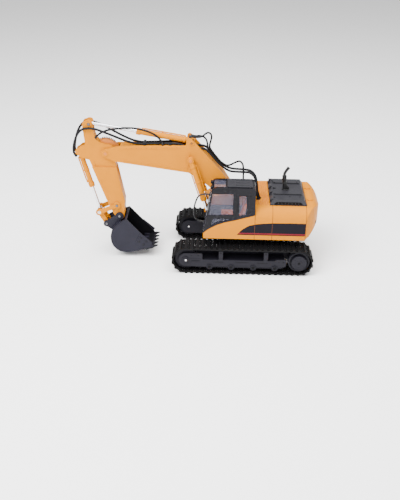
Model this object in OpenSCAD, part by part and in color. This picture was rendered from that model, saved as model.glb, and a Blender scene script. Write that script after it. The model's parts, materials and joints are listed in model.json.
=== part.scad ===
// Remote control crawler excavator. +Z is up, the boom points along -Y, and the cab is on +X.
// The origin is on the ground under the swing axis. Outlines are [y, z] pairs, drawn along X.

/* [Undercarriage] */
// Width over the two tracks
track_gauge_w = 176; // [174:1:180]
// Width of one track shoe
shoe_w = 40; // [36:1:42]
// Distance from the swing axis to the idler axle and to the sprocket axle
axle_y = 102; // [100:1:106]
// Height of one track
track_h = 52; // [50:1:53]
// Number of shoes in one track
shoe_count = 54; // [48:2:58]
// Radius of the sprocket and the idler
wheel_r = 19.6; // [19:0.1:19.7]
// Radius of a road roller
roller_r = 6.6; // [6:0.1:6.8]

/* [House] */
// Half of the width of the house
house_x = 75; // [74:0.5:76]
// Height of the deck above the ground
deck_z = 124; // [122:1:126]
// Wall thickness of the moulded panels
wall = 3; // [2.5:0.1:3]

/* [Arm] */
// Half of the width of the boom
boom_x = 14; // [13.5:0.1:14]
// Half of the width of the stick
stick_x = 12; // [11.5:0.1:12]
// Length of a boom cylinder's barrel
boom_barrel_len = 80; // [74:1:82]
// Length of the stick cylinder's barrel
stick_barrel_len = 100; // [96:1:106]
// Length of the bucket cylinder's barrel
bucket_barrel_len = 72; // [68:1:74]
// Radius of a piston rod
rod_r = 3; // [2.6:0.1:3.2]

/* [Bucket] */
// Half of the width of the bucket
bucket_x = 30; // [28:1:32]
// Number of teeth
tooth_count = 5; // [4:1:6]

/* [Quality] */
// Facets on a round edge
$fn = 48; // [32:8:96]

/* [Hidden] */

yellow = [0.93, 0.62, 0.22];
black = [0.16, 0.16, 0.18];
dark_metal = [0.24, 0.24, 0.28];
silver = [0.8, 0.8, 0.82];

// clearances
fit = 0.06;
gap = 0.5;

// tracks
shoe_x = track_gauge_w / 2 - shoe_w / 2;
axle_z = track_h / 2;
belt_in_r = 20;
belt_web_r = 24;
belt_pitch_r = 22;
roller_y = [-59, -20, 20, 59];
roller_z = 13;
axle_r = 2;
inner_plate_x = [52.5, 55.5];
outer_plate_x = [80.5, 83.5];
wheel_x = [58, 78];

// swing bearing
gear_module = 1;
ring_teeth = 48;
pinion_teeth = 12;
pinion_y = gear_module * (ring_teeth + pinion_teeth) / 2 + 0.1;
post_r = 8;

// house
floor_z = [64, 68];
front_y = -72;
cab_back_y = 19;
deck_front_y = 19;
tail_y = 110;
rear_y = 138;
tail_r = 118;
shoulder_r = 20;
bay_x = 30;

// arm pivots, [y, z]
boom_foot = [-25, 122];
cylinder_foot = [-58, 73];
boom_head = [-97, 193];
cylinder_x = 22;
stick_pivot = [-250, 199];
stick_base = [-96, 222];
stick_head = [-278, 251];
fork_x = 9.6;
fork_r = 29;
bucket_base = [-298, 199];
rocker_pivot = [-232.5, 98];
rocker_end = [-265.5, 83.5];
bucket_pivot = [-228, 77];
link_end = [-252.5, 61];

// hose routes, [x, y, z]
hose_r = 2.1;
thin_hose_r = 1.7;
clamp_y = -186;
boom_route_a = [[5, -186, 215.8], [5, -165, 216.8], [6, -140, 218], [7.5, -122, 218.5], [7.5,
    -108, 214], [7.5, -96, 211.6], [7.5, -84, 211.8], [7.5, -72, 209.6], [7.5, -65, 204], [7, -58,
    195.8], [7, -49.5, 186], [7, -40, 177.2]];
boom_route_b = [[-5, -186, 215.8], [-5, -165, 216.8], [-6, -140, 218], [-7.5, -122, 218.5], [-7.5,
    -108, 214], [-7.5, -96, 211.6], [-7.5, -84, 211.8], [-6.5, -72, 210.2], [-5, -65, 205], [-3,
    -58, 197.2], [-2, -49.5, 187.6], [-2, -40, 179]];
loop_route = [[11.8, -100, 234.4], [11.8, -92, 233.2], [11, -84, 232.8], [10, -77, 234.6], [9,
    -72, 238.6], [8, -67.5, 240.6], [6.5, -62.8, 238], [5, -61, 232], [4, -62.4, 224], [3, -64,
    216.5], [2.5, -63, 209.8], [2.5, -57.5, 201.4], [2.5, -50, 192], [2.5, -44, 185]];
inner_loop_route = [[7.6, -97, 234.6], [8, -89, 234], [8.2, -82, 234.6], [7.8, -76, 233.2], [7,
    -71.2, 228.8], [6.4, -68.6, 222], [6, -67.8, 215.4], [5.2, -66.6, 209.8]];
deck_route_a = [[7, -40, 177.2], [8, -31.5, 171.6], [10, -23, 169.4], [13, -11, 170], [17, 0,
    171.4], [20.5, 8, 172], [23.5, 14.8, 168.4], [26, 19.3, 161], [27.6, 21, 149.6], [28, 22.4,
    137], [28, 25, 127], [28, 26, 122]];
deck_route_b = [[-2, -40, 179], [-0.5, -31.5, 174], [3, -23, 172.4], [7.5, -11, 173.2], [12.5, 0,
    174.6], [17, 9, 174.8], [20, 16, 170.4], [22, 20.5, 162], [22.6, 22.5, 150], [22.4, 24, 138],
    [22, 27, 128], [22, 28, 122]];
small_loop_route = [[2.5, -44, 185], [2.5, -35, 178.8], [4, -27.5, 179.2], [6.5, -20, 184], [9.5,
    -13.6, 188.4], [13.5, -8.8, 190.2], [17.5, -4.8, 187], [20.5, -3.2, 181], [23, -2.8, 171],
    [24.8, -2.6, 160], [27, -2.4, 153], [30.2, -2.4, 150]];
stick_route_a = [[-5, -186, 215.8], [-6, -201, 218.5], [-9, -216, 223.4], [-11.5, -234, 231.6],
    [-12.6, -251, 241], [-12.6, -262, 245.5], [-12.6, -273, 249.2], [-12.4, -283, 250.2], [-11.5,
    -291, 246.8], [-10, -298, 238.4], [-8.6, -303.2, 226], [-7.8, -306.4, 213], [-7.5, -307.6,
    203], [-7.5, -307, 196.6], [-7.5, -304.4, 192]];
stick_route_b = [[5, -186, 215.8], [5.5, -201, 217.5], [8.5, -216, 223], [12.5, -232, 231], [15,
    -244, 236.8], [15.2, -254, 240.6], [14.4, -264, 243.8], [13.4, -274, 245], [12.8, -284,
    244.2], [11.8, -292, 240.6], [10, -299.4, 231.6], [8.4, -304, 220.6], [7.7, -306.6, 211],
    [7.5, -307.6, 203], [7.5, -307, 196.6], [7.5, -304.4, 192]];
arc_route = [[9, -147, 217.6], [9, -153, 227], [10, -165, 237], [11, -180, 243], [11, -195, 246],
    [12, -210, 247], [12.5, -226, 245.8], [12.5, -243, 242.6], [11.5, -253, 238.6], [9.6, -260.5,
    233.4], [8, -265, 228.6]];

// ---------- shared shapes ----------

// Extrudes an outline of [y, z] points from x0 to x1
module across(x0, x1) {
    translate([x0, 0, 0]) rotate([90, 0, 90]) linear_extrude(x1 - x0) children();
}

// The outline's two mirrored copies, from x0 to x1 and from -x1 to -x0
module both_sides() {
    children();
    mirror([1, 0, 0]) children();
}

// Points of an arc, for an outline that is one polygon
function arc(at, r, from, to, steps = 16) =
    [for (k = [0:steps]) let(a = from + (to - from) * k / steps) at + r * [cos(a), sin(a)]];

module disc(at, r) {
    translate(at) circle(r);
}

// A pin along X
module cross_pin(at, r, x0, x1) {
    across(x0, x1) disc(at, r);
}

// Places a shape built along +Z so that it starts at p and points to q
module aimed(p, q, x = 0) {
    translate([x, p[0], p[1]]) rotate([-atan2(q[0] - p[0], q[1] - p[1]), 0, 0]) children();
}

module box_between(low, high) {
    translate(low) cube(high - low);
}

// A round-ended bar outline between two points
module bar_outline(p, q, r) {
    length = norm(q - p);
    disc(p, r);
    disc(q, r);
    translate(p) rotate(atan2(q[1] - p[1], q[0] - p[0])) translate([0, -r]) square([length, 2 * r]);
}

function spline(a, b, c, d, t) = 0.5 * (2 * b + (c - a) * t
    + (2 * a - 5 * b + 4 * c - d) * t * t + (3 * b - a - 3 * c + d) * t * t * t);

function smooth(route, steps) = let(last = len(route) - 1) concat(
    [for (i = [0:last - 1], k = [0:steps - 1])
        spline(route[max(i - 1, 0)], route[i], route[i + 1], route[min(i + 2, last)], k / steps)],
    [route[last]]);

function unit(v) = v / norm(v);

// A hose of radius r along a route
module hose(route, r, sides = 8, steps = 2) {
    path = smooth(route, steps);
    last = len(path) - 1;
    points = [for (i = [0:last]) let(
            along = unit(path[min(i + 1, last)] - path[max(i - 1, 0)]),
            out = unit(cross(along, [1, 0, 0])),
            over = cross(along, out))
        for (k = [0:sides - 1]) path[i] + r * (cos(360 * k / sides) * out + sin(360 * k / sides) * over)];
    walls = [for (i = [0:last - 1], k = [0:sides - 1]) let(next = (k + 1) % sides)
        [i * sides + k, (i + 1) * sides + k, (i + 1) * sides + next, i * sides + next]];
    start_cap = [for (k = [0:sides - 1]) k];
    end_cap = [for (k = [sides - 1:-1:0]) last * sides + k];
    polyhedron(points, concat(walls, [start_cap, end_cap]));
}

// Half of the angle that an involute tooth covers at radius r
function involute(base_r, r) = r <= base_r ? 0 : let(a = acos(base_r / r)) tan(a) * 180 / PI - a;

module gear_outline(teeth, size, backlash = 0.24) {
    pitch_r = teeth * size / 2;
    base_r = pitch_r * cos(20);
    half = 90 / teeth - backlash / 2 / pitch_r * 180 / PI + involute(base_r, pitch_r);
    radii = [pitch_r - 1.15 * size, pitch_r - 0.4 * size, pitch_r + 0.3 * size, pitch_r + 0.85 * size];
    flank = [for (r = radii) [r, half - involute(base_r, r)]];
    polygon([for (i = [0:teeth - 1], k = [0:7]) let(
            point = k < 4 ? flank[k] : flank[7 - k],
            angle = 360 * i / teeth + (k < 4 ? -point[1] : point[1]))
        point[0] * [cos(angle), sin(angle)]]);
}

// ---------- undercarriage ----------

belt_run = 2 * axle_y;
belt_arc = PI * belt_pitch_r;
belt_length = 2 * (belt_run + belt_arc);

// Place and turn of a point on the belt's pitch line, as [y, z, angle]
function belt_place(s) =
    s < axle_y ? [s, axle_z - belt_pitch_r, 0]
    : s < axle_y + belt_arc ? let(a = (s - axle_y) / belt_pitch_r * 180 / PI)
        [axle_y + belt_pitch_r * sin(a), axle_z - belt_pitch_r * cos(a), a]
    : s < axle_y + belt_arc + belt_run ? [2 * axle_y + belt_arc - s, axle_z + belt_pitch_r, 180]
    : s < axle_y + 2 * belt_arc + belt_run ?
        let(a = 180 + (s - axle_y - belt_arc - belt_run) / belt_pitch_r * 180 / PI)
        [-axle_y + belt_pitch_r * sin(a), axle_z - belt_pitch_r * cos(a), a]
    : [s - belt_length, axle_z - belt_pitch_r, 0];

module stadium(r) {
    disc([-axle_y, axle_z], r);
    disc([axle_y, axle_z], r);
    translate([-axle_y, axle_z - r]) square([2 * axle_y, 2 * r]);
}

module track_belt() {
    grouser_h = axle_z - belt_pitch_r;
    across(shoe_x - shoe_w / 2, shoe_x + shoe_w / 2) {
        difference() {
            stadium(belt_web_r);
            stadium(belt_in_r);
        }
        for (i = [0:shoe_count - 1]) {
            place = belt_place(i * belt_length / shoe_count);
            translate([place[0], place[1]]) rotate(place[2])
                translate([-1.5, -grouser_h]) square([3, grouser_h - 1]);
        }
    }
}

module left_track_belt() color(black) track_belt();
module right_track_belt() color(black) mirror([1, 0, 0]) track_belt();

module inner_plate_outline() {
    polygon([[-axle_y, axle_z + 12], [-axle_y, axle_z - 13], [-64, 12], [70, 12], [78, 20],
        [78, 34], [60, 38], [-60, 38]]);
    for (y = [-axle_y, axle_y]) disc([y, axle_z], 13);
    translate([70, axle_z - 8]) square([axle_y - 70, 16]);
}

module outer_plate_outline() {
    disc([-axle_y, axle_z], 13);
    polygon([[-axle_y, axle_z + 13], [-axle_y, axle_z - 13], [-74, 12], [70, 12], [79, 17],
        [79, 30], [60, 30], [60, 27], [-72, 27], [-72, axle_z + 11.5], [-73.5, axle_z + 13]]);
}

module track_frame() {
    difference() {
        union() {
            for (x = [inner_plate_x, outer_plate_x]) across(x[0], x[1]) {
                for (y = roller_y) disc([y, roller_z], 6);
                for (y = [-39, 42]) translate([y - 3.5, 26]) square([7, 19.4]);
            }
            across(inner_plate_x[0], inner_plate_x[1]) inner_plate_outline();
            across(outer_plate_x[0], outer_plate_x[1]) outer_plate_outline();
            box_between([inner_plate_x[1], -76, 21], [outer_plate_x[0], 76, 27]);
            for (y = [-39, 42])
                box_between([inner_plate_x[1], y - 3, 27], [outer_plate_x[0], y + 3, 45]);
            cross_pin([-axle_y, axle_z], 6, outer_plate_x[1], outer_plate_x[1] + 1.5);
            for (y = roller_y)
                cross_pin([y, roller_z], 4.5, outer_plate_x[1], outer_plate_x[1] + 1.5);
        }
        cross_pin([-axle_y, axle_z], axle_r, 40, 90);
        cross_pin([axle_y, axle_z], 4, 40, 90);
        for (y = roller_y) cross_pin([y, roller_z], axle_r, 40, 90);
    }
}

module left_track_frame() color(dark_metal) track_frame();
module right_track_frame() color(dark_metal) mirror([1, 0, 0]) track_frame();

module centre_frame() color(black) {
    difference() {
        union() {
            box_between([-inner_plate_x[0], -45, 16], [inner_plate_x[0], 45, 40]);
            translate([0, 0, 40]) cylinder(h = 8, r = 36);
            translate([0, 0, 48]) cylinder(h = 5, r = 18);
            translate([0, 0, 53]) cylinder(h = 18, r = post_r);
            translate([0, 0, 71]) cylinder(h = 3, r = post_r - 2);
        }
        box_between([-46, -41, 15], [46, 41, 36]);
    }
}

module swing_ring_gear() color("dimgray") {
    translate([0, 0, 53]) difference() {
        linear_extrude(5) gear_outline(ring_teeth, gear_module);
        translate([0, 0, -1]) cylinder(h = 7, r = 12);
    }
    difference() {
        translate([0, 0, 48]) cylinder(h = 5, r = 22);
        translate([0, 0, 47]) cylinder(h = 7, r = 18);
    }
}

module drive_motors() color("gray") both_sides() {
    cross_pin([axle_y, axle_z], 11, 22, inner_plate_x[0]);
    cross_pin([axle_y, axle_z], 4, inner_plate_x[0], wheel_x[1] - gap);
    cross_pin([axle_y, axle_z], 6, 16, 22);
}

module chassis_cover() color(black) difference() {
    box_between([-45.8, -40.8, 14], [45.8, 40.8, 16]);
    for (x = [-41, 41], y = [-36, 36]) translate([x, y, 13]) cylinder(h = 4, r = 1.6);
    box_between([24, -4, 13], [32, 6, 17]);
}

module chassis_screws() color(silver) for (x = [-41, 41], y = [-36, 36]) translate([x, y, 0]) {
    translate([0, 0, 12.6]) cylinder(h = 1.4, r = 2.8);
    translate([0, 0, 14]) cylinder(h = 8, r = 1.6);
}

module wheel_axles() color(silver) both_sides() {
    cross_pin([-axle_y, axle_z], axle_r, inner_plate_x[0], outer_plate_x[1] + 3);
    for (y = roller_y) cross_pin([y, roller_z], axle_r, inner_plate_x[0], outer_plate_x[1] + 2.2);
}

module power_switch() color("firebrick") {
    box_between([25, -3, 12.4], [31, 1, 16.6]);
    box_between([24, -3, 16.6], [32, 1, 18]);
}

module sprocket() difference() {
    union() {
        across(wheel_x[0], 62) disc([axle_y, axle_z], wheel_r);
        translate([62, axle_y, axle_z]) rotate([90, 0, 90])
            linear_extrude(9) gear_outline(16, 2.1, 1.2);
        across(71, wheel_x[1]) disc([axle_y, axle_z], wheel_r);
        across(wheel_x[1], 81) difference() {
            disc([axle_y, axle_z], wheel_r);
            disc([axle_y, axle_z], wheel_r - 2.5);
        }
        across(wheel_x[1], 87.5) disc([axle_y, axle_z], 13.7);
    }
    cross_pin([axle_y, axle_z], 4 + fit, 50, wheel_x[1]);
    cross_pin([axle_y, axle_z], 1.6, wheel_x[1], 90);
}

module idler() difference() {
    union() {
        across(wheel_x[0], wheel_x[1]) disc([-axle_y, axle_z], wheel_r - 2.6);
        for (x = [wheel_x[0], 72]) across(x, x + 6) disc([-axle_y, axle_z], wheel_r);
    }
    cross_pin([-axle_y, axle_z], axle_r + fit, 50, 90);
}

module roller(y) difference() {
    union() {
        across(wheel_x[0], wheel_x[1]) disc([y, roller_z], roller_r - 2);
        for (x = [wheel_x[0], 72]) across(x, x + 6) disc([y, roller_z], roller_r);
    }
    cross_pin([y, roller_z], axle_r + fit, 50, 90);
}

module left_sprocket() color(dark_metal) sprocket();
module right_sprocket() color(dark_metal) mirror([1, 0, 0]) sprocket();
module left_idler() color(dark_metal) idler();
module right_idler() color(dark_metal) mirror([1, 0, 0]) idler();
module left_roller(i) color(dark_metal) roller(roller_y[i - 1]);
module right_roller(i) color(dark_metal) mirror([1, 0, 0]) roller(roller_y[i - 1]);

// ---------- house ----------

module house_floor() color(black) difference() {
    union() {
        box_between([-house_x + wall, front_y + 1, floor_z[0]], [house_x - wall, tail_y, floor_z[1]]);
        translate([0, 0, 60]) cylinder(h = 4, r = post_r + 4);
    }
    translate([0, 0, 59]) cylinder(h = 10, r = post_r + fit);
    translate([0, pinion_y, 60]) cylinder(h = 9, r = 3.5);
    both_sides() box_between([cylinder_x - 5, -71, 63], [cylinder_x + 5, -46, 69]);
}

module boom_bracket() color(yellow) {
    both_sides() across(boom_x + 0.5, boom_x + 4.5) {
        disc(boom_foot, 11);
        polygon([[-52, 68], [-8, 68], [-14, 122], [-36, 122]]);
    }
    both_sides() for (x = [cylinder_x - 7.3, cylinder_x + 5]) across(x, x + 2.3) {
        intersection() {
            disc(cylinder_foot, 8);
            translate([cylinder_foot[0] - 8, floor_z[1]]) square(16);
        }
        translate([cylinder_foot[0] - 7, floor_z[1]]) square([33, 4]);
    }
    both_sides() box_between([cylinder_x - 7.3, -44, 68], [cylinder_x + 7.3, -32, 72]);
    cross_pin(boom_foot, 4, -boom_x - 6, boom_x + 6);
}

// Lower edge of the cab's side, where it meets the side panel
swoosh = [[-72, 76], [-66, 81.5], [-58, 87], [-47, 93], [-35, 97.6], [-14, 103], [3, 108],
    [19, 113]];

// One quarter of a round, in X and Z
module shoulder_outline(r, inset) {
    intersection() {
        translate([house_x - shoulder_r, deck_z - shoulder_r]) circle(r);
        translate([house_x - shoulder_r, deck_z - shoulder_r]) square(r + 1);
    }
    translate([house_x - shoulder_r, 66 + inset]) square([r, deck_z - shoulder_r - 66 - inset]);
}

module rear_side_shell() {
    translate([0, tail_y, 0]) rotate([90, 0, 0]) linear_extrude(tail_y - deck_front_y) {
        difference() {
            shoulder_outline(shoulder_r, 0);
            shoulder_outline(shoulder_r - wall, -1);
            translate([0, 60]) square([house_x - shoulder_r + 0.01, 70]);
        }
    }
}

module left_side_panel() color(yellow) {
    rear_side_shell();
    across(house_x - wall, house_x) polygon(concat([[19, 66], [front_y, 66]], swoosh));
}

module right_side_panel() color(yellow) mirror([1, 0, 0]) {
    rear_side_shell();
    difference() {
        across(bay_x + 1, house_x)
            polygon([[deck_front_y, 68], [front_y, 68], [front_y, 92], [-60, 101], [deck_front_y, 108]]);
        across(bay_x + 3, house_x - wall)
            polygon([[deck_front_y - 3, 67], [front_y + 3, 67], [front_y + 3, 90], [-59, 98],
                [deck_front_y - 3, 104.6]]);
    }
    across(house_x - wall, house_x) polygon([[deck_front_y, 66], [front_y, 66], [front_y, 68],
        [deck_front_y, 68]]);
}

module tail_side(inset) {
    translate([tail_y, 70 + inset]) square([8 - inset, deck_z - 70 - 2 * inset]);
    disc([rear_y - 18, deck_z - 18], 18 - inset);
    polygon([[tail_y, 68 + inset], [120 - inset / 2, 72 + inset], [rear_y - inset, 86],
        [rear_y - inset, deck_z - 18], [tail_y, deck_z - 18]]);
}

module tail_plan(inset) intersection() {
    union() {
        translate([-house_x + 22, tail_y]) square([2 * (house_x - 22), rear_y - tail_y]);
        for (x = [-1, 1]) disc([x * (house_x - 22), tail_y], 22 - inset);
    }
    disc([0, rear_y - tail_r], tail_r - inset);
}

module tail_front(inset) {
    for (x = [-1, 1]) disc([x * (house_x - shoulder_r), deck_z - shoulder_r], shoulder_r - inset);
    translate([-house_x + inset, 66]) square([2 * (house_x - inset), deck_z - shoulder_r - 66]);
    translate([-house_x + shoulder_r, 66]) square([2 * (house_x - shoulder_r), deck_z - inset - 66]);
}

module tail_solid(inset) intersection() {
    across(-90, 90) tail_side(inset);
    linear_extrude(200) tail_plan(inset);
    translate([0, 140, 0]) rotate([90, 0, 0]) linear_extrude(60) tail_front(inset);
    box_between([-90, tail_y, 0], [90, 140, 200]);
}

module counterweight() color(yellow) {
    difference() {
        tail_solid(0);
        tail_solid(wall);
    }
    for (x = [-26, 26]) translate([x, 119, deck_z - 1.5]) cylinder(h = 3.9, r = 5);
}

module rear_deck() color(yellow) {
    difference() {
        box_between([-house_x + shoulder_r, deck_front_y, deck_z - wall],
            [house_x - shoulder_r, tail_y, deck_z]);
        for (p = [[22, 28], [28, 26]]) translate([p[0], p[1], deck_z - 5]) cylinder(h = 8, r = 2.6);
    }
    box_between([-house_x + wall, deck_front_y, 68], [house_x - wall, deck_front_y + 2, 104]);
    box_between([-house_x + shoulder_r, deck_front_y, 104],
        [house_x - shoulder_r, deck_front_y + 2, deck_z - wall]);
    for (y = [23:4:43]) box_between([34, y, deck_z], [52, y + 1.4, deck_z + 0.6]);
    for (y = [23:4:43]) box_between([-52, y, deck_z], [10, y + 1.4, deck_z + 0.6]);
}

// The engine cover's bevelled outline over a base from one edge to the other
module bevelled(low, high, inset, bottom) {
    polygon([[low + inset, bottom], [high - inset, bottom], [high - inset, deck_z + 2],
        [high - inset - 5, deck_z + 9 - inset], [low + inset + 5, deck_z + 9 - inset],
        [low + inset, deck_z + 2]]);
}

module cover_solid(inset, bottom) intersection() {
    across(-60, 60) bevelled(46, 111.5, inset, bottom);
    translate([0, 115, 0]) rotate([90, 0, 0]) linear_extrude(72) bevelled(-54, 54, inset, bottom);
}

module engine_cover() color(black) {
    difference() {
        cover_solid(0, deck_z);
        cover_solid(2, deck_z - 1);
    }
    for (x = [-26, 26]) box_between([x - 1.4, 54, deck_z + 9], [x + 1.4, 104, deck_z + 10]);
    for (x = [-44, -12, 12, 44]) box_between([x - 3, 47.4, deck_z + 4], [x + 3, 52, deck_z + 10]);
}

module exhaust_pipe() color(black) {
    aimed([75, deck_z + 9], [73, 148]) cylinder(h = 17, r = 3.2);
    aimed([73.4, 149], [73, 164]) cylinder(h = 16, r = 2.6);
    aimed([73, 163], [80, 176]) cylinder(h = 14, r = 2.3);
    aimed([73, 150], [67, 141]) cylinder(h = 9, r = 1.2);
}

cab_outline = [[19, 68.2], [19, 159], [17.6, 162.2], [14, 164], [-50, 164], [-55, 162.6],
    [-58.2, 159], [-66, 110.8], [-72, 76], [-72, 68.2]];
cab_cavity = [[15.5, 70.5], [15.5, 157], [13, 160.5], [-50, 160.5], [-55, 158], [-62.5, 110.8],
    [-68.5, 76], [-68.5, 70.5]];
door_window = [[-57, 152.9], [-19.8, 153.6], [-19.9, 111.9], [-63.6, 110.7]];
rear_window = [[-10, 150.4], [3.3, 150.4], [5.2, 113], [-9.1, 109.7]];
low_window = [[-54.3, 104.9], [-21.4, 105.4], [-34, 101.5], [-46, 98.5], [-60.3, 90.3]];
far_window = [[-53, 153], [4, 153], [4, 112], [-60, 112]];
cab_x = [bay_x + 0.5, house_x];

module cab_frame() color(black) difference() {
    across(cab_x[0], cab_x[1]) polygon(cab_outline);
    across(cab_x[0] + 2.5, cab_x[1] - 5.5) polygon(cab_cavity);
    across(house_x - wall - 0.3, house_x + 1)
        polygon(concat([[20, 60], [-80, 60], [-80, 76.3]], [for (p = swoosh) p + [0, 0.3]], [[20, 113.6]]));
    across(69, 80) polygon(door_window);
    across(69, 80) polygon(rear_window);
    across(69, 80) polygon(low_window);
    across(20, 34) polygon(far_window);
    box_between([37, -80, 80], [68, -50, 152]);
    box_between([38, 10, 116], [67, 25, 152]);
    box_between([37, -57, 152], [69, -34, 170]);
}

module cab_roof() color([0.22, 0.22, 0.24]) difference() {
    box_between([35, -31, 164], [71, 13, 166]);
    for (x = [40, 52, 64]) box_between([x, -16, 165], [x + 2.4, 8, 167]);
}

module cab_windows() color([0.6, 0.66, 0.74, 0.4]) {
    across(72.6, 73.8) {
        polygon(door_window);
        polygon(rear_window);
        polygon(low_window);
    }
    across(cab_x[0] + 0.8, cab_x[0] + 1.8) polygon(far_window);
    intersection() {
        box_between([37, -80, 80], [68, -50, 152]);
        across(30, 80) difference() {
            polygon(cab_outline);
            translate([1.2, 0]) polygon(cab_outline);
        }
    }
    box_between([38, 17, 116], [67, 18, 152]);
    box_between([37, -54, 162], [69, -34, 163]);
}

module operator_seat() color("darkorange") {
    box_between([42, -24, 70.5], [64, 0, 92]);
    box_between([40, -28, 92], [66, 0, 100]);
    across(41, 65) polygon([[-6, 100], [0, 100], [5, 130], [0, 130]]);
    both_sides_of_seat() box_between([-16, -40, 70.5], [-13, -8, 106]);
}

module both_sides_of_seat() translate([53, 0, 0]) {
    children();
    mirror([1, 0, 0]) children();
}

handrail_route = [[35, -61.8, 134], [33, -72, 133.5], [33, -82, 129], [33, -88, 114], [33, -90, 98],
    [33, -87, 86], [33, -80, 81], [35, -70, 80]];
module handrail() color(black) hose(handrail_route, 1.1, 8, 2);

module battery_pack() color("steelblue") box_between([-34, 68, 68], [34, 104, 92]);

module circuit_board() color("green") {
    box_between([-60, 44, 96], [60, 64, 97.6]);
    for (x = [-50, 50]) box_between([x - 3, 50, 68], [x + 3, 58, 96]);
    box_between([-20, 48, 97.6], [0, 60, 100]);
    box_between([10, 50, 97.6], [24, 58, 103]);
}

module swing_motor() color("gray") translate([0, pinion_y, 0]) {
    difference() {
        translate([0, 0, floor_z[1]]) cylinder(h = 26, r = 9);
        translate([0, 0, floor_z[1] - 1]) cylinder(h = 7, r = 2 + fit);
    }
}

module swing_pinion() color("goldenrod") translate([0, pinion_y, 0]) {
    translate([0, 0, 53.6]) rotate(180 / pinion_teeth)
        linear_extrude(4) gear_outline(pinion_teeth, gear_module);
    translate([0, 0, 57.6]) cylinder(h = 15, r = 2);
}

// ---------- arm ----------

// A cylinder barrel built from its pin along +Z, open at the far end
module barrel(length, r, rod_depth, eye_w) difference() {
    union() {
        translate([0, 0, 5]) cylinder(h = length - 5, r = r);
        translate([0, 0, length - 8]) cylinder(h = 8, r = r + 0.6);
        translate([-eye_w / 2, 0, 0]) rotate([0, 90, 0]) cylinder(h = eye_w, r = 5.4);
        for (z = [12, length - 12]) translate([-1, r - 1, z]) cube([2, 3.4, 3]);
        translate([0, r + 1.6, 12]) cylinder(h = length - 21, r = 0.9);
    }
    translate([0, 0, rod_depth]) cylinder(h = length, r = rod_r + fit);
}

// A piston rod built from its pin along +Z
module piston_rod(length, eye_w, eye_r, pin_r) difference() {
    union() {
        cylinder(h = length, r = rod_r);
        translate([-eye_w / 2, 0, 0]) rotate([0, 90, 0]) cylinder(h = eye_w, r = eye_r);
    }
    translate([-eye_w, 0, 0]) rotate([0, 90, 0]) cylinder(h = 2 * eye_w, r = pin_r + fit);
}

boom_outline = concat(arc(stick_pivot, 7, 111.9, 245.4), [[-235.2, 184.5], [-228, 183.2],
    [-101, 166], [-75, 150]], arc(boom_foot, 12, 228.7, 392.1), [[-36.5, 162.8], [-57.4, 186.5],
    [-95.5, 229.2], [-98, 231.5], [-101.5, 232.2], [-104.3, 230.2], [-106.6, 216.5], [-231, 211.8]]);

module boom() color(yellow) difference() {
    across(-boom_x, boom_x) polygon(boom_outline);
    // fork for the stick
    across(-fork_x, fork_x) disc(stick_pivot, fork_r);
    across(-fork_x, fork_x) polygon([[-270, 170], [-240, 170], [-240, 230], [-270, 230]]);
    // recess for the stick cylinder's foot
    across(-fork_x, fork_x) polygon([[-122, 240], [-122, 214.4], [-106, 209], [-70, 209], [-60, 240]]);
    // hollow inside
    across(-boom_x + 3, boom_x - 3)
        polygon([[-214, 208], [-128, 210.5], [-112, 206], [-106, 205], [-84, 205], [-46, 166], [-34, 146],
            [-40, 128], [-74, 156], [-100, 171], [-214, 186]]);
    cross_pin(stick_pivot, 3, -20, 20);
    cross_pin(boom_head, 3, -20, 20);
    cross_pin(boom_foot, 4 + fit, -20, 20);
}

module boom_pins() color(silver) {
    cross_pin(stick_pivot, 3, -boom_x - 1.5, boom_x + 1.5);
    cross_pin(boom_head, 3, -cylinder_x - 5.5, cylinder_x + 5.5);
    both_sides() cross_pin(boom_head, 4.6, boom_x, cylinder_x - 4.6);
}

module boom_barrels() color(yellow) both_sides() difference() {
    aimed(boom_head, cylinder_foot, cylinder_x) barrel(boom_barrel_len, 5, 16, 9);
    cross_pin(boom_head, 3 + fit, 0, 40);
}

module boom_rods() color(silver) both_sides() difference() {
    aimed(cylinder_foot, boom_head, cylinder_x) piston_rod(76, 8, 4.4, 2);
}

stick_outline = concat(arc(stick_head, 7.5, 40, 130, 10), arc([-283, 250], 7, 130, 184, 5),
    [[-284, 195], [-247.5, 98]], arc(bucket_pivot, 8.6, 207, 365),
    [[-218, 106], [-231.5, 172], [-233, 181], [-231.5, 198], [-234.5, 209], [-239, 213.2],
    [-249.5, 214.3], [-255.7, 216.2], [-261, 218.4], [-266.5, 223.5], [-270, 236]]);

module stick() color(yellow) {
    difference() {
        union() {
            across(-9, 9) polygon(stick_outline);
            across(-stick_x, stick_x) intersection() {
                polygon(stick_outline);
                translate([-300, 40]) square([100, 132]);
            }
        }
        // slot for the stick cylinder's rod
        across(-5.5, 5.5) disc(stick_head, 11);
        across(-5.5, 5.5) polygon([[-278, 238], [-250, 238], [-240, 262], [-278, 275]]);
        // hollow inside
        across(-stick_x + 3, stick_x - 3) polygon([[-278, 192], [-266, 168], [-236, 166],
            [-224, 112], [-240, 112]]);
        cross_pin(stick_pivot, 3 + fit, -20, 20);
        cross_pin(stick_head, 2.5, -20, 20);
        cross_pin(rocker_pivot, 2.5, -20, 20);
        cross_pin(bucket_pivot, 2.5, -20, 20);
    }
    // ears for the bucket cylinder's foot
    both_sides() across(6, 9) polygon(concat(arc(bucket_base, 6.5, 100, 250),
        [[-293, 188], [-279, 184], [-282, 214], [-294, 210]]));
}

module stick_gear() color(yellow) difference() {
    across(-4, 4) intersection() {
        translate(stick_pivot) gear_outline(48, 1.03);
        polygon([stick_pivot, stick_pivot + [-18, 40], stick_pivot + [44, 40],
            stick_pivot + [34, 0]]);
    }
    across(-5, 5) polygon(stick_outline);
}

module stick_pins() color(silver) {
    cross_pin(stick_head, 2.5, -10.2, 10.2);
    cross_pin(rocker_pivot, 2.5, -17, 17);
    cross_pin(bucket_pivot, 2.5, -17.5, 17.5);
}

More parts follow.
